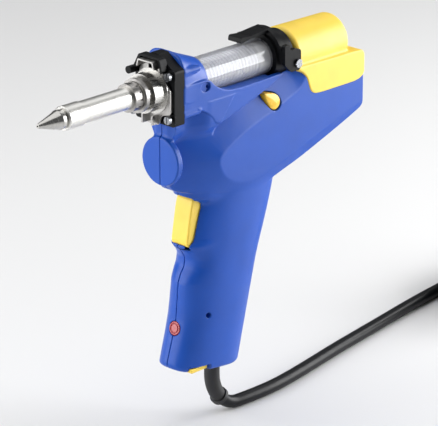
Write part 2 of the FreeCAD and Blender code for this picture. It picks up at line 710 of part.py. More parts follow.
def trimmer_base():
    base = box(trimmer_at.x - 3.2, trimmer_at.x + 3.2, -7.6, -3.4, trimmer_at.z - 3.2, trimmer_at.z + 3.2)
    board = box(trimmer_at.x - 4.5, trimmer_at.x + 14, -3.4, -2.0, trimmer_at.z - 12, trimmer_at.z + 6)
    return base.fuse(board).cut(rod(trimmer_at - V(0, 9.0, 0), Y_DIR, 1.0 + pin_fit, 4.6)).removeSplitter()


def foot_clip():
    return box(84.3, 92.7, -12.0, -9.2, -165.0, -160.8).fuse(box(85.0, 92.0, -9.3, -6.0, -162.4, -160.8))


# ---- lead and plug ---------------------------------------------------------------------
def boot_wire():
    down = boot_top - V(0, 0, boot_straight)
    centre = down + V(boot_bend_r, 0, 0)

    def at(angle):
        return centre + V(-boot_bend_r * math.cos(angle), 0, -boot_bend_r * math.sin(angle))
    arc = Part.Arc(at(0), at(boot_turn / 2), at(boot_turn)).toShape()
    return Part.Wire([Part.LineSegment(boot_top, down).toShape(), arc]), at(boot_turn)


def boot_mouth_way():
    return V(math.sin(boot_turn), 0, -math.cos(boot_turn))


def cord_boot():
    wire, mouth = boot_wire()
    section = Part.Wire([Part.Circle(boot_top, Z_DIR, boot_r).toShape()])
    tube = wire.makePipeShell([section], True, True)
    flange = rod(boot_top, Z_DIR, 6.4, 2.0)
    lip = rod(mouth - boot_mouth_way() * 2.4, boot_mouth_way(), boot_lip_r, 2.4)
    return fuse_all([tube, flange, lip])


def cord_path(points):
    """Straight runs joined by tangent arcs as large as the runs allow."""
    corners = [V(*p) for p in points]
    edges, radii = [], []
    start = corners[0]
    for before, corner, after in zip(corners, corners[1:], corners[2:]):
        into, out = corner - before, after - corner
        turn = into.getAngle(out)
        radius = 0.45 * min(into.Length, out.Length) / math.tan(turn / 2)
        reach = radius * math.tan(turn / 2)
        to_before = (before - corner).normalize()
        to_after = (after - corner).normalize()
        middle = (to_before + to_after).normalize()
        crown = corner + middle * (radius / math.cos(turn / 2) - radius)
        arc_start, arc_end = corner + to_before * reach, corner + to_after * reach
        edges.append(Part.LineSegment(start, arc_start).toShape())
        edges.append(Part.Arc(arc_start, crown, arc_end).toShape())
        start = arc_end
        radii.append(radius)
    edges.append(Part.LineSegment(start, corners[-1]).toShape())
    return Part.Wire(edges), radii


def cord():
    path, radii = cord_path(cord_route)
    way = (V(*cord_route[1]) - V(*cord_route[0])).normalize()
    section = Part.Wire([Part.Circle(V(*cord_route[0]), way, cord_r).toShape()])
    tube = path.makePipeShell([section], True, True)
    area = math.pi * cord_r ** 2
    print("cord bend radii", [round(r, 1) for r in radii])
    print("cord length", round(path.Length, 1), "volume ratio", round(tube.Volume / (area * path.Length), 4))
    return tube


def oblong(radius):
    """Upright oblong block with round ends, as tall as the hank."""
    height = coil_top_z - coil_low_z
    x, y = coil_centre.x, coil_centre.y
    solid = box(x - coil_half_run, x + coil_half_run, y - radius, y + radius, coil_low_z, coil_top_z)
    for side in (-1, 1):
        solid = solid.fuse(Part.makeCylinder(radius, height, V(x + side * coil_half_run, y, coil_low_z)))
    return solid.removeSplitter()


def coil_ring():
    solid = oblong(coil_outer_r).cut(oblong(coil_inner_r))
    level = [e for e in solid.Edges if e.BoundBox.ZLength < 0.01]
    return solid.makeFillet(3.2, level)


def cord_coil():
    """The put-away turns as one ring, with the lead's tail over it to the plug."""
    points = [(coil_centre.x + x, coil_centre.y + y, z) for x, y, z in tail_route]
    return coil_ring().fuse(soft_line(points, cord_r))


def coil_tie():
    """Strap around the turns of the hank's left run."""
    x0, x1 = coil_centre.x - 15.0, coil_centre.x - 5.0
    y0, y1 = coil_centre.y + coil_inner_r - 1.0, coil_centre.y + coil_outer_r + 1.0
    block = box(x0, x1, y0, y1, coil_low_z, coil_top_z + 1.0)
    return block.cut(coil_ring())


plug_axis_z = coil_top_z + 10.1
plug_y = coil_centre.y - 21.0
plug_relief_x, plug_body_x, plug_face_x = coil_centre.x + 8.0, coil_centre.x - 18.0, coil_centre.x - 52.0


def plug_body():
    relief = Part.makeCone(4.2, 6.4, 26.5, V(plug_relief_x, plug_y, plug_axis_z), V(-1, 0, 0))
    wires = []
    stations = ((plug_body_x, 8.0, 7.4), (plug_body_x - 12, 12.4, 9.6), (plug_face_x, 13.0, 10.0))
    for x, half_y, half_z in stations:
        corners = [(-half_y, -half_z), (-half_y, half_z), (half_y, half_z), (half_y, -half_z)]
        wires.append(outline([(V(x, plug_y + y, plug_axis_z + z), 4.0) for y, z in corners]))
    body = Part.makeLoft(wires, True, True)
    return body.fuse(relief).removeSplitter()


def plug_pins():
    """Two flat blades and a round earth pin."""
    x = plug_face_x
    blades = [box(x - 17.0, x + 0.0, plug_y + s * 6.35 - 0.8, plug_y + s * 6.35 + 0.8,
                  plug_axis_z - 1.0, plug_axis_z + 5.3) for s in (-1, 1)]
    earth = rod(V(x, plug_y, plug_axis_z - 6.0), V(-1, 0, 0), 2.4, 20.0)
    return Part.makeCompound(blades + [earth])


# ---- all pieces --------------------------------------------------------------------------
def build():
    right, left = housing()
    pieces = {
        "housing_right": right, "housing_left": left, "housing_screws": housing_screws(),
        "rear_cover": rear_cover(),
        "nozzle": nozzle(), "nozzle_collar": nozzle_collar(), "heater_sleeve": heater_sleeve(),
        "heater_core": heater_core(), "suction_pipe": suction_pipe(), "retaining_nut": retaining_nut(),
        "clip_spring": clip_spring(), "heat_shield": heat_shield(), "steel_bracket": steel_bracket(),
        "ceramic_spacer": ceramic_spacer(), "flange_plate": flange_plate(), "flange_screws": flange_screws(),
        "filter_tube": filter_tube(), "front_seal": front_seal(), "rear_seal": rear_seal(),
        "solder_coil": solder_coil(), "filter_cartridge": filter_cartridge(), "tube_holder": tube_holder(),
        "release_lever": release_lever(), "lever_pivots": lever_pivots(),
        "trigger": trigger(), "trigger_pin": trigger_pin(), "trigger_spring": trigger_spring(),
        "micro_switch": micro_switch(), "switch_plunger": switch_plunger(), "side_button": side_button(),
        "pump_motor": pump_motor(), "motor_crank": motor_crank(), "pump_rod": pump_rod(),
        "pump_diaphragm": pump_diaphragm(), "pump_head": pump_head(), "vacuum_hose": vacuum_hose(),
        "circuit_board": circuit_board(), "heater_wires": heater_wires(), "mains_wires": mains_wires(),
        "indicator_lens": indicator_lens(), "trimmer": trimmer(), "trimmer_base": trimmer_base(),
        "foot_clip": foot_clip(),
        "cord_boot": cord_boot(), "cord": cord(), "cord_coil": cord_coil(), "coil_tie": coil_tie(),
        "plug_body": plug_body(), "plug_pins": plug_pins(),
    }
    return pieces


def main():
    os.makedirs("parts", exist_ok=True)
    for name, shape in build().items():
        box_now = shape.BoundBox
        print(f"{name:18s} solids {len(shape.Solids)} valid {shape.isValid()} volume {shape.Volume:9.1f} "
              f"x {box_now.XMin:.1f} {box_now.XMax:.1f} y {box_now.YMin:.1f} {box_now.YMax:.1f} "
              f"z {box_now.ZMin:.1f} {box_now.ZMax:.1f}")
        shape.exportStep(f"parts/{name}.step")


main()
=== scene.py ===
"""Looks of the desoldering pump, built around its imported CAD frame.

Blender works in metres; shapes here are given in millimetres and scaled by MM.
X runs along the barrel (nozzle -X), Y across, Z up, origin in the nozzle's collar.
"""
import json
import math

import bpy
import numpy as np
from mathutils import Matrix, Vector


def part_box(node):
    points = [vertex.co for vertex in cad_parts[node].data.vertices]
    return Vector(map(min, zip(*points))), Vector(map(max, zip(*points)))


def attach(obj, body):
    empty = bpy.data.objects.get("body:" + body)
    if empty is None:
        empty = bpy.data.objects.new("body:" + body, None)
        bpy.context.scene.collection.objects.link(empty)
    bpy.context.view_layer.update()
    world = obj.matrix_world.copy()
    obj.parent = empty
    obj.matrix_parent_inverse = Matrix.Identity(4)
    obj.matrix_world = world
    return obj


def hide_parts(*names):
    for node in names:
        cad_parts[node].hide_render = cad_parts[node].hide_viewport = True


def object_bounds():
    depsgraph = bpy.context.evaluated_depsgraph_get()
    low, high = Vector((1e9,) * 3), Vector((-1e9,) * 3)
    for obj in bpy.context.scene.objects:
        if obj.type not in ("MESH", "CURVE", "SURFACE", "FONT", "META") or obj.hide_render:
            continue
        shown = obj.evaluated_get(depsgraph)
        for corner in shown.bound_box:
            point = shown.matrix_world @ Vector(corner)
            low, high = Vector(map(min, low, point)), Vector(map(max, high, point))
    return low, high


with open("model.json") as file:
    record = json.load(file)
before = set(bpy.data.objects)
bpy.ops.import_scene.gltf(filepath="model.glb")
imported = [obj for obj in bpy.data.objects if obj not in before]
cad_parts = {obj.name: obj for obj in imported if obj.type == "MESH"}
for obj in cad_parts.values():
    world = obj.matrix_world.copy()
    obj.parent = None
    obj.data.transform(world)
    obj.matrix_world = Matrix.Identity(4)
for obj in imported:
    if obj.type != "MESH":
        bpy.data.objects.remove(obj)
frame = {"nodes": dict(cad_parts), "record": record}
cad_box = [list(v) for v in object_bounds()]
nodes = frame["nodes"]
MM = 0.001
scene = bpy.context.scene
scene.view_settings.view_transform = "Standard"


# ---- materials ------------------------------------------------------------------
# Noise scales are in cells per metre, bump depths in metres.
def shader(name):
    mat = bpy.data.materials.new(name)
    mat.use_nodes = True
    return mat, mat.node_tree, mat.node_tree.nodes["Principled BSDF"]


def noise(tree, scale, detail=2.0, stretch=None):
    coords = tree.nodes.new("ShaderNodeTexCoord")
    out = tree.nodes.new("ShaderNodeTexNoise")
    out.inputs["Scale"].default_value = scale
    out.inputs["Detail"].default_value = detail
    if stretch:
        mapping = tree.nodes.new("ShaderNodeMapping")
        mapping.inputs["Scale"].default_value = stretch
        tree.links.new(coords.outputs["Object"], mapping.inputs["Vector"])
        tree.links.new(mapping.outputs["Vector"], out.inputs["Vector"])
    else:
        tree.links.new(coords.outputs["Object"], out.inputs["Vector"])
    return out.outputs["Fac"]


def ramp(tree, fac, low, high, start=0.3, end=0.7):
    """Noise spreads around 0.5, so its middle range from start to end is stretched over low to high."""
    node = tree.nodes.new("ShaderNodeMapRange")
    tree.links.new(fac, node.inputs["Value"])
    node.inputs["From Min"].default_value = start
    node.inputs["From Max"].default_value = end
    node.inputs["To Min"].default_value = low
    node.inputs["To Max"].default_value = high
    return node.outputs["Result"]


def colour(tree, bsdf, scale, detail, dark, light):
    """Base colour that drifts between two tones."""
    mix = tree.nodes.new("ShaderNodeMix")
    mix.data_type = "RGBA"
    tree.links.new(ramp(tree, noise(tree, scale, detail), 0, 1), mix.inputs["Factor"])
    mix.inputs["A"].default_value = (*dark, 1)
    mix.inputs["B"].default_value = (*light, 1)
    tree.links.new(mix.outputs["Result"], bsdf.inputs["Base Color"])


def roughness(tree, bsdf, fac, low, high):
    tree.links.new(ramp(tree, fac, low, high), bsdf.inputs["Roughness"])


def bump(tree, bsdf, height, strength, distance):
    node = tree.nodes.new("ShaderNodeBump")
    node.inputs["Strength"].default_value = strength
    node.inputs["Distance"].default_value = distance
    tree.links.new(height, node.inputs["Height"])
    tree.links.new(node.outputs["Normal"], bsdf.inputs["Normal"])


def plastic(name, color, rough=0.42, coat=0.0, grain=2600, vary=0.06, depth=0.00003, specular=0.5):
    """Moulded plastic: fine spark-eroded grain, faint colour drift and uneven gloss."""
    mat, tree, bsdf = shader(name)
    dark = tuple(c * (1 - vary) for c in color)
    light = tuple(min(1, c * (1 + vary)) for c in color)
    colour(tree, bsdf, 60, 3, dark, light)
    roughness(tree, bsdf, noise(tree, 260, 4), rough - 0.05, rough + 0.06)
    bsdf.inputs["Specular IOR Level"].default_value = specular
    bsdf.inputs["Coat Weight"].default_value = coat
    bsdf.inputs["Coat Roughness"].default_value = 0.2
    bump(tree, bsdf, noise(tree, grain, 3), 0.35, depth)
    return mat


def metal(name, color, rough=0.28, stretch=(1, 60, 60), heat=None, scale=90, depth=0.00002):
    """Turned or brushed metal: fine lines along one direction, stains or heat tint in the colour."""
    mat, tree, bsdf = shader(name)
    colour(tree, bsdf, 45, 4, heat or tuple(c * 0.86 for c in color), color)
    lines = noise(tree, scale, 4, stretch)
    roughness(tree, bsdf, lines, rough - 0.08, rough + 0.12)
    bsdf.inputs["Metallic"].default_value = 1.0
    bump(tree, bsdf, lines, 0.3, depth)
    return mat


def clear(name, color, rough, through, ior=1.45):
    """Clear moulding with faint flow marks; through is the share of light that passes."""
    mat, tree, bsdf = shader(name)
    colour(tree, bsdf, 30, 2, tuple(c * 0.96 for c in color), color)
    roughness(tree, bsdf, noise(tree, 120, 3), rough, rough + 0.04)
    bsdf.inputs["Transmission Weight"].default_value = through
    bsdf.inputs["IOR"].default_value = ior
    return mat


ALONG, ACROSS, EVEN = (1, 60, 60), (60, 1, 1), (1, 1, 1)    # direction of a metal's fine lines

BLUE = plastic("Blue_shell", (0.011, 0.079, 0.44), 0.34, specular=0.32, vary=0.05)
YELLOW = plastic("Yellow_cover", (0.93, 0.66, 0.085), 0.40)
BLACK = plastic("Black_moulding", (0.007, 0.0075, 0.0085), 0.36, specular=0.12)
STEEL = metal("Turned_steel", (0.60, 0.59, 0.58), 0.28, ALONG, depth=0.000005)
PIPE = metal("Heater_pipe_steel", (0.78, 0.77, 0.74), 0.34, ACROSS, depth=0.000006)
TIP = metal("Plated_tip", (0.60, 0.59, 0.57), 0.22, ACROSS, heat=(0.46, 0.45, 0.43), depth=0.000003)
# retaining nut: steel darkened as painted shade, standing in for the shaded gaps between the rings of the
# nose
NUT_PAINTED_SHADE = metal("Nut_steel_painted_shade", (0.34, 0.33, 0.32), 0.30, ALONG, depth=0.000004)
SHIELD = metal("Shield_steel", (0.58, 0.57, 0.55), 0.24, ALONG, depth=0.000004)
TINNED = metal("Tinned_coil", (0.93, 0.93, 0.95), 0.42, ALONG, depth=0.000003)
PRESSED = metal("Pressed_steel", (0.42, 0.41, 0.40), 0.36, EVEN, scale=400, depth=0.000004)
SCREW = metal("Screw_steel", (0.27, 0.28, 0.30), 0.24, EVEN, scale=600)
CORD = plastic("Cord_sheath", (0.007, 0.0075, 0.009), 0.36, vary=0.15, grain=1400, specular=0.2)
RUBBER = plastic("Rubber", (0.012, 0.012, 0.013), 0.5, vary=0.15)
BRASS = metal("Plug_brass", (0.80, 0.62, 0.33), 0.25, (1, 40, 40))
BUTTON = plastic("Button_yellow", (0.93, 0.56, 0.03), 0.30, specular=0.6)
RED = plastic("Red_lens", (0.42, 0.020, 0.030), 0.22, coat=0.6, specular=0.7)
CERAMIC = plastic("Ceramic", (0.80, 0.76, 0.68), 0.6)
PAPER = plastic("Filter_paper", (0.82, 0.80, 0.74), 0.85, grain=900, depth=0.0001)
BOARD = plastic("Circuit_board", (0.03, 0.22, 0.07), 0.35, vary=0.12)
WIRE = plastic("Wire_sheath", (0.55, 0.03, 0.025), 0.4)
CLEAR = clear("Clear_tube", (0.95, 0.96, 1.0), 0.05, through=0.78)
GASKET = clear("Clear_rubber", (0.86, 0.86, 0.84), 0.35, through=0.6)

slot_look = {
    "blue_plastic": BLUE, "yellow_plastic": YELLOW, "black_plastic": BLACK, "clear_plastic": CLEAR,
    "bright_steel": STEEL, "pressed_steel": PRESSED, "plated_tip": TIP, "screw_steel": SCREW,
    "ceramic": CERAMIC, "rubber": RUBBER, "clear_rubber": GASKET, "paper": PAPER, "red_lens": RED,
    "board": BOARD, "wire": WIRE, "cord_rubber": CORD, "brass": BRASS,
}
# nodes whose finish differs from the rest of their slot; the retaining nut's dark steel is painted shade
# for the dark gaps between the nose's rings
node_look = {"heater_sleeve": PIPE, "nozzle_collar": PIPE, "retaining_nut": NUT_PAINTED_SHADE, "heat_shield": SHIELD,
             "solder_coil": TINNED}
SMOOTH_BELOW = math.radians(32)     # steeper edges between a CAD node's faces stay sharp
for row in frame["record"]["subparts"]:
    mesh = nodes[row["node"]].data
    mesh.materials.clear()
    mesh.materials.append(node_look.get(row["node"], slot_look[row["material_slot"]]))
    mesh.polygons.foreach_set("use_smooth", [True] * len(mesh.polygons))
    mesh.set_sharp_from_angle(angle=SMOOTH_BELOW)

# small rounds on the edges of moulded and pressed CAD nodes, with their widths in millimetres
edge_rounds = {"release_lever": 0.35, "flange_plate": 0.35, "steel_bracket": 0.2, "plug_body": 0.5,
               "coil_tie": 0.4}
for node, width in edge_rounds.items():
    bevel = nodes[node].modifiers.new("Edges", "BEVEL")
    bevel.width = width * MM
    bevel.segments = 2
    bevel.limit_method = "ANGLE"
    bevel.angle_limit = math.radians(38)
    bevel.use_clamp_overlap = True


# ---- implicit shapes ------------------------------------------------------------
# A shape is a function of points (x, y, z arrays in millimetres) that is negative inside.
def soft_min(a, b, k):
    """Union of two shapes with a fillet about k wide."""
    h = np.clip(0.5 + 0.5 * (b - a) / k, 0, 1)
    return b + (a - b) * h - k * h * (1 - h)


def soft_max(a, b, k):
    """Intersection of two shapes with an edge round about k wide."""
    return -soft_min(-a, -b, k)


def common(*shapes):
    """Intersection with sharp edges."""
    out = shapes[0]
    for shape in shapes[1:]:
        out = np.maximum(out, shape)
    return out


def fade(v, start, end):
    """0 before start, 1 after end, smooth between."""
    t = np.clip((v - start) / (end - start), 0, 1)
    return t * t * (3 - 2 * t)


def block(x, y, z, x0, x1, y0, y1, z0, z1, r=0.0):
    """Box with all its edges rounded to r."""
    a = np.abs(x - (x0 + x1) / 2) - (x1 - x0) / 2 + r
    b = np.abs(y - (y0 + y1) / 2) - (y1 - y0) / 2 + r
    c = np.abs(z - (z0 + z1) / 2) - (z1 - z0) / 2 + r
    out = np.sqrt(np.maximum(a, 0) ** 2 + np.maximum(b, 0) ** 2 + np.maximum(c, 0) ** 2)
    return out + np.minimum(np.maximum(a, np.maximum(b, c)), 0) - r


def slab(flat, across, r):
    """A flat outline's distance and the distance across it, joined with an edge rounded to r."""
    a, b = flat + r, across + r
    return np.minimum(np.maximum(a, b), 0) + np.hypot(np.maximum(a, 0), np.maximum(b, 0)) - r


class Outline:
    """Distance to a closed outline in a plane, tabulated once and read smoothly.

    The outline's corners are cut rounds times, which makes it a smooth curve near its points.
    """

    def __init__(self, points, rounds=2, step=0.5, margin=26.0):
        p = np.array(points, float)
        for _ in range(rounds):
            q = np.roll(p, -1, 0)
            p = np.stack([p * 0.75 + q * 0.25, p * 0.25 + q * 0.75], 1).reshape(-1, 2)
        self.low = p.min(0) - margin
        self.step = step
        nu, nv = (np.ceil((p.max(0) + margin - self.low) / step).astype(int) + 2)
        u = self.low[0] + np.arange(nu) * step
        v = self.low[1] + np.arange(nv) * step
        u, v = np.meshgrid(u, v, indexing="ij")
        best, inside = np.full(u.shape, 1e9), np.zeros(u.shape, bool)
        for a, b in zip(p, np.roll(p, -1, 0)):
            e = b - a
            t = np.clip(((u - a[0]) * e[0] + (v - a[1]) * e[1]) / max(e @ e, 1e-12), 0, 1)
            best = np.minimum(best, (u - a[0] - e[0] * t) ** 2 + (v - a[1] - e[1] * t) ** 2)
            crosses = (a[1] > v) != (b[1] > v)
            if e[1]:
                inside ^= crosses & (u < a[0] + (v - a[1]) * e[0] / e[1])
        self.table = np.where(inside, -1, 1) * np.sqrt(best)

    def __call__(self, u, v):
        top = np.array(self.table.shape) - 2
        a = np.clip((u - self.low[0]) / self.step, 0, top[0] + 0.999)
        b = np.clip((v - self.low[1]) / self.step, 0, top[1] + 0.999)
        i, j = a.astype(int), b.astype(int)
        a, b = a - i, b - j
        t = self.table
        near = t[i, j] * (1 - a) + t[i + 1, j] * a
        next_row = t[i, j + 1] * (1 - a) + t[i + 1, j + 1] * a
        return near * (1 - b) + next_row * b


# ---- meshes of implicit shapes --------------------------------------------------
def slope(field, p, step=0.12):
    """The field's gradient at the points p."""
    out = []
    for axis in range(3):
        d = np.zeros(3)
        d[axis] = step
        out.append(field(*(p + d).T) - field(*(p - d).T))
    return np.stack(out, 1) / (2 * step)


def cell_points(values, inside):
    """One point in each grid cell that the surface crosses, in cells, and each cell's point number."""
    cells = tuple(n - 1 for n in values.shape)
    total, count = np.zeros(cells + (3,), np.float32), np.zeros(cells, np.float32)

    def corner(offsets):
        return tuple(slice(o, o + n) for o, n in zip(offsets, cells))

    for a in ((i, j, k) for i in (0, 1) for j in (0, 1) for k in (0, 1)):
        for axis in range(3):
            if a[axis]:
                continue
            b = tuple(1 if n == axis else a[n] for n in range(3))
            va, vb = values[corner(a)], values[corner(b)]
            hit = inside[corner(a)] != inside[corner(b)]
            t = np.where(hit, va / np.where(hit, va - vb, 1), 0)
            for n in range(3):
                total[..., n] += np.where(hit, a[n] + (t if n == axis else 0), 0)
            count += hit
    used = count > 0
    index = np.full(cells, -1)
    index[used] = np.arange(used.sum())
    return np.argwhere(used) + total[used] / count[used][:, None], index


def cell_faces(inside, index):
    """One quad around each grid edge that the surface crosses, facing out."""
    faces = []
    for axis in range(3):
        one, two = (axis + 1) % 3, (axis + 2) % 3
        low, high = [slice(None)] * 3, [slice(None)] * 3
        low[axis], high[axis] = slice(0, -1), slice(1, None)
        flip = inside[tuple(low)] != inside[tuple(high)]
        for n in (one, two):
            within = [slice(None)] * 3
            within[n] = slice(1, inside.shape[n] - 1)
            mask = np.zeros_like(flip)
            mask[tuple(within)] = True
            flip = flip & mask
        at = np.argwhere(flip)
        if not len(at):
            continue
        quad = []
        for step_one, step_two in ((-1, -1), (0, -1), (0, 0), (-1, 0)):
            cell = at.copy()
            cell[:, one] += step_one
            cell[:, two] += step_two
            quad.append(index[tuple(cell.T)])
        quad = np.stack(quad, 1)
        outward = inside[tuple(at.T)]
        quad[~outward] = quad[~outward][:, ::-1]
        faces.append(quad)
    return np.concatenate(faces)


def surface(field, low, high, step):
    """Points, faces and normals of the zero surface, by surface nets pulled onto the field."""
    axes = [np.arange(a, b + step, step) for a, b in zip(low, high)]
    values = np.empty(tuple(len(a) for a in axes), np.float32)
    for i, x in enumerate(axes[0]):
        y, z = np.meshgrid(axes[1], axes[2], indexing="ij")
        values[i] = field(np.full(y.shape, x), y, z)
    inside = values < 0
    p, index = cell_points(values, inside)
    p = np.array([a[0] for a in axes]) + p * step
    for _ in range(4):
        g = slope(field, p)
        size = np.maximum((g ** 2).sum(1), 0.05)
        move = -(field(*p.T) / size)[:, None] * g
        far = np.linalg.norm(move, axis=1, keepdims=True)
        p = p + move * np.minimum(1, 0.4 * step / np.maximum(far, 1e-9))
    g = slope(field, p, 0.25 * step)
    return p, cell_faces(inside, index), g / np.maximum(np.linalg.norm(g, axis=1, keepdims=True), 1e-9)


def moulded(name, body, material, stands_for, field, low, high, step):
    """A piece made from an implicit shape, meshed between the corners low and high."""
    p, faces, normals = surface(field, low, high, step)
    mesh = bpy.data.meshes.new(name)
    mesh.from_pydata((p * MM).tolist(), [], [f.tolist() for f in faces])
    mesh.polygons.foreach_set("use_smooth", [True] * len(mesh.polygons))
    mesh.normals_split_custom_set_from_vertices(normals.tolist())
    mesh.materials.append(material)
    obj = bpy.data.objects.new(name, mesh)
    scene.collection.objects.link(obj)
    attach(obj, body)
    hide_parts(*stands_for)
    return obj


# ---- blue housing: outlines in side view (x, z) ---------------------------------
core_line = Outline([
    (64.2, -14), (64.2, -24), (64.2, -36), (64.2, -50), (66.5, -55), (70, -57.3), (80, -59.5),
    (92, -61.5), (104, -64), (113, -66.2), (122, -66.2), (131, -64.3), (141, -61.5), (154, -58.3),
    (171, -52.4), (186, -46.8), (198, -41.8), (201.3, -39.5), (201.5, -36), (201.5, -24),
    (201.5, -12), (196, -7), (170, -6), (150, -6.2), (142, -6.3), (125, -7.2), (106, -7.3),
    (96, -4.0), (87, -0.6), (80, 0.5), (66, 0.5)])
pod_line = Outline([
    (90.3, -44.5), (91.6, -40.2), (99.5, -35.6), (110.9, -30.4), (122.4, -27.2), (137.5, -22.6),
    (146, -19.8), (151.5, -17.2), (154.5, -14.0), (157, -9), (160, 0), (206, 2), (207, -36),
    (198.5, -37.0), (184, -41.0), (163, -46.8), (140, -54.0), (124, -58.7), (113, -60.2),
    (101, -57.2), (93.8, -52.0)])
panel_line = Outline([
    (60, 2), (60, -11.6), (75.2, -11.6), (75.2, -11.0), (86, -17), (89.5, -23.2), (97, -21.9),
    (108, -18.8), (120, -15.0), (131.4, -11.0), (136, -8.8), (141.5, -6.4), (125, -7.1),
    (106, -7.2), (98, -6.6), (92, -4.0), (88, -1.5), (85.5, 1.6), (80, 3)], margin=40)
grip_line = Outline([
    (69.0, -87.0), (69.0, -100), (68.5, -121), (66.5, -133), (63.5, -144), (63.0, -151.5),
    (65.2, -154.6), (69.5, -156.7), (76, -157.2), (84, -157.6), (95, -159.0), (106, -160.9),
    (111.5, -161.4), (114.8, -158), (116.6, -150), (119.5, -138), (123.6, -122), (128.6, -101),
    (132.2, -86), (134.3, -76), (137, -66), (140, -56), (80, -52), (70, -54), (69, -70)])
trigger_line = Outline([
    (80.4, -63.0), (79.0, -67.0), (77.7, -74.0), (76.5, -81.0), (75.5, -87.2), (76.2, -89.0),
    (79.5, -89.9), (83.0, -88.6), (87.0, -82.0), (90.5, -74.0), (91.0, -65.0), (86.0, -62.4)],
    step=0.3, margin=14)
# the side button's drop shape, pointed at its upper front and round at its lower rear
drop_line = Outline([
    (124.0, -14.4), (128.5, -15.2), (133.2, -16.4), (136.3, -19.6), (136.2, -23.2),
    (133.2, -25.6), (129.6, -24.6), (127.2, -21.2), (125.2, -17.6)], step=0.2, margin=12)

# the grip's front at the joint line, as (height, place), from the foot up: indicator, finger
# groove, the point under the trigger, the trigger's gap and the lip over it
grip_front = [(-168, 62.0), (-153.5, 66.0), (-146.3, 68.1), (-137.8, 70.8), (-129.3, 73.0),
              (-117.8, 74.0), (-109.5, 74.7), (-104.9, 76.6), (-101.5, 79.2), (-97.1, 79.8),
              (-92.4, 77.4), (-90.4, 75.2), (-89.0, 74.0), (-87.6, 75.4), (-86.0, 77.8),
              (-80.0, 79.6), (-75.0, 81.0), (-68.0, 83.4), (-66.2, 83.0), (-63.4, 76.4),
              (-60.0, 75.0), (-50.0, 74.0)]
front_z = np.arange(-168, -50, 0.25)
front_x = np.interp(front_z, *np.array(grip_front).T)
spread = np.exp(-np.arange(-3, 3.1, 0.25) ** 2)     # weights that round the front's corners
front_x = np.convolve(np.pad(front_x, len(spread) // 2, "edge"), spread / spread.sum(), "valid")

# ---- blue housing: dimensions ---------------------------------------------------
housing_front_x = 65.6              # plane of the front, behind the flange
pod_half_w = 15.3                   # half width at the raised pod
scoop_slope, scoop_curve = 0.35, 0.0018     # how the sides fall away around the pod
scoop_deepest = 10.5
pod_crease = 0.35                   # round where the scoop begins
panel_half_w = 14.0
belly_front_w, belly_gain = 8.8, 5.1        # half width at its front, and what it gains behind
belly_widens = (70.5, 86.0)         # between these places along X
belly_front_x, belly_top_z = 64.6, -10
belly_rear_x, belly_rear_z, belly_rear_lean = 94.0, -20, 0.8
belly_round = 8.0
belly_straight_z = -20.6            # the belly's sides are upright above this height
chin_x, chin_z, chin_r, chin_half = 63.9, -39.5, 13.0, 1.9
hood_x, hood_half_l, hood_bottom = 76.0, 10.3, -6
hood_front_w, hood_narrows = 14.0, 2.8      # half width at the flange, and what it loses behind
hood_front_z, hood_drops = 19.2, 7.9        # the same for its height
hood_front_power, hood_rounds = 3.4, 1.4    # and for its squareness, where 2 is an ellipse
screw_places = [(-12.4, 9.8), (-12.4, -13.0), (12.4, -13.0)]    # flange screws, (y, z)
boss_x, boss_r, boss_half_l = 71.9, 1.75, 6.2
grip_lean = math.radians(14.0)
grip_x, grip_z = 98.2, -126         # a point on the grip's leaning middle line
grip_rear, grip_rear_gain = 24.3, 4.0       # from the middle line to the rear, and its gain at the top
grip_half_w = 14.6
grip_power = 2.35                   # squareness in plan, where 2 is an ellipse
plain_front_x, plain_front_z, plain_front_slope = 66.0, -153.5, 0.20
lens_x, lens_z, lens_r = 72.0, -134.4, 3.75     # the indicator in the grip's front
lens_gap = 0.2
channel_r = 10.25                   # the filter tube's channel
holder_x, holder_r, holder_half_l = 145, 12.85, 14.0
slot_half_w, slot_rear_x, slot_low_z = 6.35, 87.6, -88.4        # the trigger's slot
slot_top_x, slot_top_z, slot_top_slope = 73, -60.2, 0.4
boot_x, boot_r, boot_z = 100, 4.55, -156
pocket_gap, pocket_y = 0.42, -6.0   # the side button's pocket: gap all round, and its floor
nook_x, nook_z, nook_r, nook_half_depth = 81.5, -1.0, 2.6, 2.2
nook_y = -15.0
setting_x, setting_z, setting_r, setting_y = 84.2, -127, 1.45, -8.0


def core_shape(x, y, z):
    """Body and pod: full width on the pod, scooped away around it towards the barrel and grip."""
    reach = pod_line(x, z)
    away = np.maximum(reach, 0)
    scoop = np.minimum(scoop_slope * away + scoop_curve * away ** 2, scoop_deepest)
    inward = soft_max(np.where(reach > 0, scoop, reach * 0.4), np.zeros_like(reach), pod_crease)
    half_w = pod_half_w - inward
    return slab(core_line(x, z), (np.abs(y) - half_w) * 0.93, 1.6)


def belly_shape(x, y, z):
    """Round-bottomed mass behind the flange, narrow at its front."""
    half_w = belly_front_w + belly_gain * fade(x, *belly_widens)
    bottom = np.hypot(np.maximum(np.abs(y) - half_w + belly_round, 0),
                      np.maximum(belly_straight_z - z, 0)) - belly_round
    rear = x - (belly_rear_x + belly_rear_lean * (z - belly_rear_z))
    return common(bottom, rear, belly_front_x - x, z - belly_top_z)


def panel_shape(x, y, z):
    """Flat side along the barrel, with the crease that runs back to the cover."""
    return common(slab(panel_line(x, z), np.abs(y) - panel_half_w, 0.5), housing_front_x - x)


def chin_shape(x, y, z):
    """Thin round disc on the front, below the flange."""
    return slab(np.hypot(y, z - chin_z) - chin_r, np.abs(x - chin_x) - chin_half, 0.7)


def hood_shape(x, y, z):
    """Arched hood from the flange back to the tube, from a square arch to a round one."""
    t = np.clip((x - 67) / 19, 0, 1)
    half_w = hood_front_w - hood_narrows * t
    top = hood_front_z - hood_drops * t ** 0.9
    power = hood_front_power - hood_rounds * t
    arch = ((np.abs(y) / half_w) ** power + (np.maximum(z, 0) / top) ** power) ** (1 / power)
    return slab(common((arch - 1) * 12.0, hood_bottom - z), np.abs(x - hood_x) - hood_half_l, 0.9)


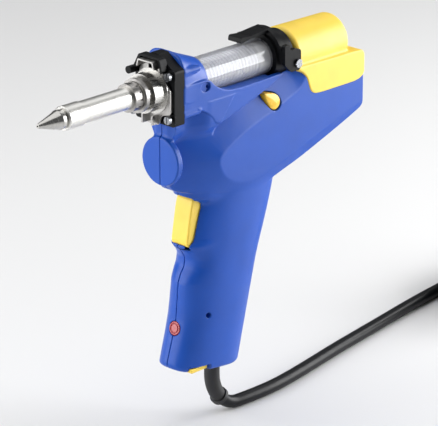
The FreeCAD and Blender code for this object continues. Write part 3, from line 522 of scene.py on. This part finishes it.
def screw_boss(place):
    """Moulded boss around a flange screw's shank."""
    def boss(x, y, z):
        return slab(np.hypot(y - place[0], z - place[1]) - boss_r, np.abs(x - boss_x) - boss_half_l, 0.8)
    return boss


def grip_shape(x, y, z):
    """Oval in plan, leaning back, with its outline in side view cut from grip_line.

    Near the joint line the front follows front_x, and further out a plain slope.
    """
    middle = grip_x + (z - grip_z) * math.tan(grip_lean)
    rear = grip_rear + fade(z, -110, -66) * grip_rear_gain
    plain = plain_front_x + (z - plain_front_z) * plain_front_slope
    near_front = fade((middle - x) / (middle - plain), 0.45, 0.95)
    front = middle - plain - near_front * (np.interp(z, front_z, front_x) - plain)
    reach = (x - middle) / np.where(x < middle, front, rear)
    oval = (np.abs(reach) ** grip_power + np.abs(y / grip_half_w) ** grip_power) ** (1 / grip_power)
    return soft_max((oval - 1) * grip_half_w, grip_line(x, z), 2.6)


def along_lens(x, y, z):
    """Distance along and off the axis of the indicator in the grip's front."""
    dx, dz = x - lens_x, z - lens_z
    along = -math.cos(grip_lean) * dx + math.sin(grip_lean) * dz
    return along, np.sqrt(np.maximum(dx ** 2 + y ** 2 + dz ** 2 - along ** 2, 0))


def tube_channel(x, y, z):
    return common(np.hypot(y, z) - channel_r, 60 - x)


def holder_seat(x, y, z):
    return common(np.hypot(y, z) - holder_r, np.abs(x - holder_x) - holder_half_l)


def trigger_slot(x, y, z):
    """The slot's top slopes down to the rear."""
    slot = block(x, y, z, 60, slot_rear_x, -slot_half_w, slot_half_w, slot_low_z, -50, 0.3)
    return common(slot, z - slot_top_z + slot_top_slope * (x - slot_top_x))


def slot_rear(x, y, z):
    """The deeper rear of the trigger's slot."""
    return block(x, y, z, 76.0, 90, -slot_half_w, slot_half_w, -90.9, -70, 0.3)


def lens_seat(x, y, z):
    along, off = along_lens(x, y, z)
    return common(off - (lens_r + lens_gap), np.abs(along) - 6)


def boot_hole(x, y, z):
    return common(np.hypot(x - boot_x, y) - boot_r, z - boot_z)


def button_pocket(x, y, z):
    return common(drop_line(x, z) - pocket_gap, y - pocket_y)


def side_nook(x, y, z):
    """Small hollow behind the flange, on the button's side."""
    return common(np.hypot((x - nook_x) * 0.8, z - nook_z) - nook_r, np.abs(y - nook_y) - nook_half_depth)


def nook_hole(x, y, z):
    return common(np.hypot(x - 83.6, z + 1.4) - 0.9, y + 9.0)


def setting_hole(x, y, z):
    return common(np.hypot(x - setting_x, z - setting_z) - setting_r, y - setting_y)


def clip_notch(x, y, z):
    return block(x, y, z, 72.0, 84.9, -18, -8.4, -172, -154.3, 0.4)


# masses with the fillet that blends each in, then openings with the round on their edge
masses = [(belly_shape, 3.0), (panel_shape, 0.9), (chin_shape, 2.2), (hood_shape, 1.2),
          *((screw_boss(place), 1.4) for place in screw_places), (grip_shape, 1.2)]
openings = [(tube_channel, 0.4), (holder_seat, 0.4), (trigger_slot, 0), (slot_rear, 0), (lens_seat, 0.3),
            (boot_hole, 0), (button_pocket, 0.25), (side_nook, 0.5), (nook_hole, 0.2),
            (setting_hole, 0.35), (clip_notch, 0.3)]


def housing_shape(x, y, z):
    body = core_shape(x, y, z)
    for shape, fillet in masses:
        body = soft_min(body, shape(x, y, z), fillet)
    for shape, edge in openings:
        cut = -shape(x, y, z)
        body = soft_max(body, cut, edge) if edge else np.maximum(body, cut)
    return body


def one_side(shape, side, gap=0.12, tongue=False):
    """The half of a shape on one side of the joint plane Y = 0, with a tongue that closes the joint."""
    def half(x, y, z):
        whole = shape(x, y, z)
        part = soft_max(whole, gap - side * y, 0.35)
        return np.minimum(part, np.maximum(whole + 0.9, -0.09 - side * y)) if tongue else part
    return half


fine = 0.6
moulded("Housing_right_shell", "housing", BLUE, ["housing_right"],
        one_side(housing_shape, -1), (61, -16.8, -167.5), (203, 1.0, 21), fine)
moulded("Housing_left_shell", "housing", BLUE, ["housing_left"],
        one_side(housing_shape, 1, tongue=True), (61, -1.0, -167.5), (203, 16.8, 21), fine)


# ---- yellow rear cover ----------------------------------------------------------
skirt_line = Outline([
    (148.2, -6.3), (149.2, -7.4), (153.0, -9.6), (156.0, -13.2), (157.4, -17.6), (159.0, -21.4),
    (163.0, -23.7), (180, -23.7), (201.2, -23.7), (201.2, -14), (201.2, -8.4), (198.0, -6.8),
    (180, -6.6), (160, -6.3), (149.0, -6.0)])
dome_z, dome_r = -1.7, 14.55
dome_x, dome_half_l = 170.3, 20.6   # middle and half length along X
dome_start_x, dome_taper = 150, 0.6 / 41    # where it has its full radius, and the loss per millimetre
skirt_half_w = 15.8
wall = 2.0


def cover_shape(x, y, z):
    """Round dome over the filter housing, running in a hollow crease into a straight skirt."""
    w = np.abs(y)
    from_axis = np.hypot(y, z - dome_z)
    radius = dome_r - (x - dome_start_x) * dome_taper
    dome = slab(from_axis - radius, np.abs(x - dome_x) - dome_half_l, 2.6)
    skirt = slab(skirt_line(x, z), w - skirt_half_w, 0.9)
    inside_dome = common(from_axis - (radius - wall), np.abs(x - 169) - 18.2)
    inside_skirt = common(w - (skirt_half_w - wall), np.abs(x - 183) - 16.4, z + 9, -40 - z)
    tube_end = common(np.hypot(y, z) - 6.5, x - 152)
    open_front = common(w - 12.6, x - 166.6, z + 7)
    return common(soft_min(dome, skirt, 2.6), -inside_dome, -inside_skirt, -tube_end, -open_front)


moulded("Rear_cover_moulding", "housing", YELLOW, ["rear_cover"], cover_shape,
        (146.5, -17, -25), (203, 17, 15), fine)


# ---- trigger, indicator, foot clip, side button and trigger pin -----------------
pin_low, pin_high = [np.array(v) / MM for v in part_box("trigger_pin")]


def trigger_shape(x, y, z):
    """Finger lever with rounded edges."""
    return slab(trigger_line(x, z), np.abs(y) - 6.0, 1.1)


def lens_shape(x, y, z):
    """Low round lens with a ring groove near its rim."""
    along, off = along_lens(x, y, z)
    body = slab(off - lens_r, np.abs(along + 2.4) - 2.6, 0.5)
    groove = common(np.abs(off - 2.55) - 0.25, -along - 0.35)
    return soft_max(body, -groove, 0.3)


def clip_shape(x, y, z):
    return block(x, y, z, 72.5, 84.4, -12.0, -6.5, -157.1, -154.7, 0.5)


def button_shape(x, y, z):
    """Drop-shaped cap, crowned outwards."""
    rim = drop_line(x, z) + 0.05
    crown = 0.9 * np.clip(-rim / 4.0, 0, 1) ** 0.6
    return slab(rim, np.abs(y + 12.2) - 2.3 - crown, 0.5)


def pin_shape(x, y, z):
    at = (pin_low + pin_high) / 2
    return slab(np.hypot(x - at[0], z - at[2]) - 1.5, np.abs(y) - 6.3, 0.3)


moulded("Trigger_lever", "trigger", YELLOW, ["trigger"], trigger_shape,
        (74, -7, -91), (92.5, 7, -61), 0.5)
moulded("Indicator_dome", "housing", RED, ["indicator_lens"], lens_shape,
        (66, -5, -142), (80, 5, -127), 0.3)
moulded("Foot_clip_bar", "housing", YELLOW, ["foot_clip"], clip_shape,
        (71, -13, -160), (86, -5, -154), 0.35)
moulded("Side_button_cap", "button", BUTTON, ["side_button"], button_shape,
        (122, -17, -28), (139, -8, -12), 0.35)
moulded("Trigger_pin_turned", "housing", SCREW, ["trigger_pin"], pin_shape,
        tuple(pin_low - 1), tuple(pin_high + 1), 0.4)


# ---- the lead -------------------------------------------------------------------
cord_d = 7.0
# the route's points from the boot's mouth to the hank, as in the CAD
route = [
    (106.4, 0.0, -184.1), (112.3, 0.0, -190.0), (126.0, -1.2, -190.0), (147.0, -1.4, -190.0),
    (174.0, 2.6, -190.0), (208.0, 9.2, -190.0), (250.0, 15.8, -190.0), (290.0, 22.6, -190.0),
    (322.0, 26.5, -190.0),
]
# the put-away hank: its centre, half the length of its straight runs, the nominal length of a
# rounded end and of a turn, and how far the ends swell out so that they stay round
hank_x, hank_y, hank_half = 364.0, 0.5, 21.5
end_arc = 77.0
turn = 4 * hank_half + 2 * end_arc
end_swell = 1.028
turns, points_per_turn = 5, 20
# strands in the order they are laid: (distance from the middle line, height), and the places
# along the turn where each one passes over to the next
strands = [(28, -190), (21, -190), (21, -183), (28, -183), (28, -176), (21, -176)]
passes = [(172, 227), (154, 208), (138, 195), (133, 173), (113, 166)]
# the tail climbs onto the turns and runs into the plug that lies on them, from the hank's centre
tail = [(-8.0, 21.2, -176.0), (4.0, 21.2, -175.2), (16.0, 21.8, -172.0), (28.0, 22.3, -169.8),
        (38.5, 17.0, -168.8), (44.5, 7.0, -168.6), (45.0, -4.5, -168.2), (37.5, -16.0, -167.0),
        (25.0, -20.8, -164.9), (12.0, -21.0, -162.9), (5.0, -21.0, -162.5)]


def hank_point(along):
    """The point at a distance along the hank's turns, which pass from strand to strand."""
    lap = min(int(along // turn), turns - 1)
    at = along - lap * turn
    t = fade(at, *passes[lap])
    reach = strands[lap][0] * (1 - t) + strands[lap + 1][0] * t
    height = strands[lap][1] * (1 - t) + strands[lap + 1][1] * t
    far_run = at >= turn / 2
    side = -1 if far_run else 1
    at -= turn / 2 if far_run else 0
    x, y = side * (min(at, 2 * hank_half) - hank_half), side * reach
    if at > 2 * hank_half:
        angle = math.pi * (at - 2 * hank_half) / end_arc
        reach *= end_swell
        x, y = side * (hank_half + reach * math.sin(angle)), side * reach * math.cos(angle)
    return hank_x + x, hank_y + y, height


line = route + [hank_point(i * turn / points_per_turn) for i in range(turns * points_per_turn + 1)]
line += [(hank_x + x, hank_y + y, z) for x, y, z in tail]


def spline_curve(name, points, radius, bevel=8):
    curve = bpy.data.curves.new(name, "CURVE")
    curve.dimensions = "3D"
    spline = curve.splines.new("NURBS")
    spline.points.add(len(points) - 1)
    for point, co in zip(spline.points, points):
        point.co = (co[0] * MM, co[1] * MM, co[2] * MM, 1)
    spline.order_u = 3
    spline.use_endpoint_u = True
    curve.resolution_u = 10
    curve.bevel_depth = radius * MM
    curve.bevel_resolution = bevel
    obj = bpy.data.objects.new(name, curve)
    scene.collection.objects.link(obj)
    return obj


lead = spline_curve("Mains_lead", line, cord_d / 2)
lead.data.materials.append(CORD)
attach(lead, "housing")
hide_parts("cord", "cord_coil")


# ---- studio, in metres ----------------------------------------------------------
def floor(half=6.0):
    """Pale floor at the foot of the model's box, where the lead lies."""
    mesh = bpy.data.meshes.new("Floor")
    height = cad_box[0][2]
    corners = [(-half, -half), (half, -half), (half, half), (-half, half)]
    mesh.from_pydata([(x, y, height) for x, y in corners], [], [(0, 1, 2, 3)])
    obj = bpy.data.objects.new("Floor", mesh)
    scene.collection.objects.link(obj)
    mat, _, bsdf = shader("Floor_sweep")
    bsdf.inputs["Base Color"].default_value = (0.76, 0.76, 0.76, 1)
    bsdf.inputs["Roughness"].default_value = 0.7
    mesh.materials.append(mat)


def turned_to(direction):
    """Rotation of a light or camera that looks along a direction."""
    return direction.to_track_quat("-Z", "Y").to_euler()


def area_light(name, place, aim, size, power):
    light = bpy.data.lights.new(name, "AREA")
    light.shape = "RECTANGLE"
    light.size, light.size_y = size
    light.energy = power
    obj = bpy.data.objects.new(name, light)
    scene.collection.objects.link(obj)
    obj.location = place
    obj.rotation_euler = turned_to(Vector(aim) - Vector(place))


floor()

looks_at = Vector((0.0883, -0.0166, -0.0702))
azimuth, elevation, distance = math.radians(-46.0), math.radians(20.38), 1.6495
back = Vector((math.sin(azimuth) * math.cos(elevation), -math.cos(azimuth) * math.cos(elevation),
               math.sin(elevation)))
camera = bpy.data.objects.new("Camera", bpy.data.cameras.new("Camera"))
scene.collection.objects.link(camera)
camera.data.sensor_width = 36.0
camera.data.lens = 263.0137
camera.data.clip_end = 50
camera.location = looks_at + back * distance
camera.rotation_euler = turned_to(-back)
scene.camera = camera

world = bpy.data.worlds.new("Studio")
scene.world = world
world.use_nodes = True
world.node_tree.nodes["Background"].inputs["Color"].default_value = (0.92, 0.94, 0.97, 1)
world.node_tree.nodes["Background"].inputs["Strength"].default_value = 0.11
middle = (0.1, 0, -0.05)
area_light("Softbox_left", (-0.72, 0.46, 0.26), middle, (1.3, 1.0), 13.5)
area_light("Softbox_right", (0.92, -0.50, 0.14), middle, (0.9, 0.8), 17)
area_light("Overhead", (0.6, 0.6, 2.2), (0.3, 0.3, -0.19), (3.0, 3.0), 36)
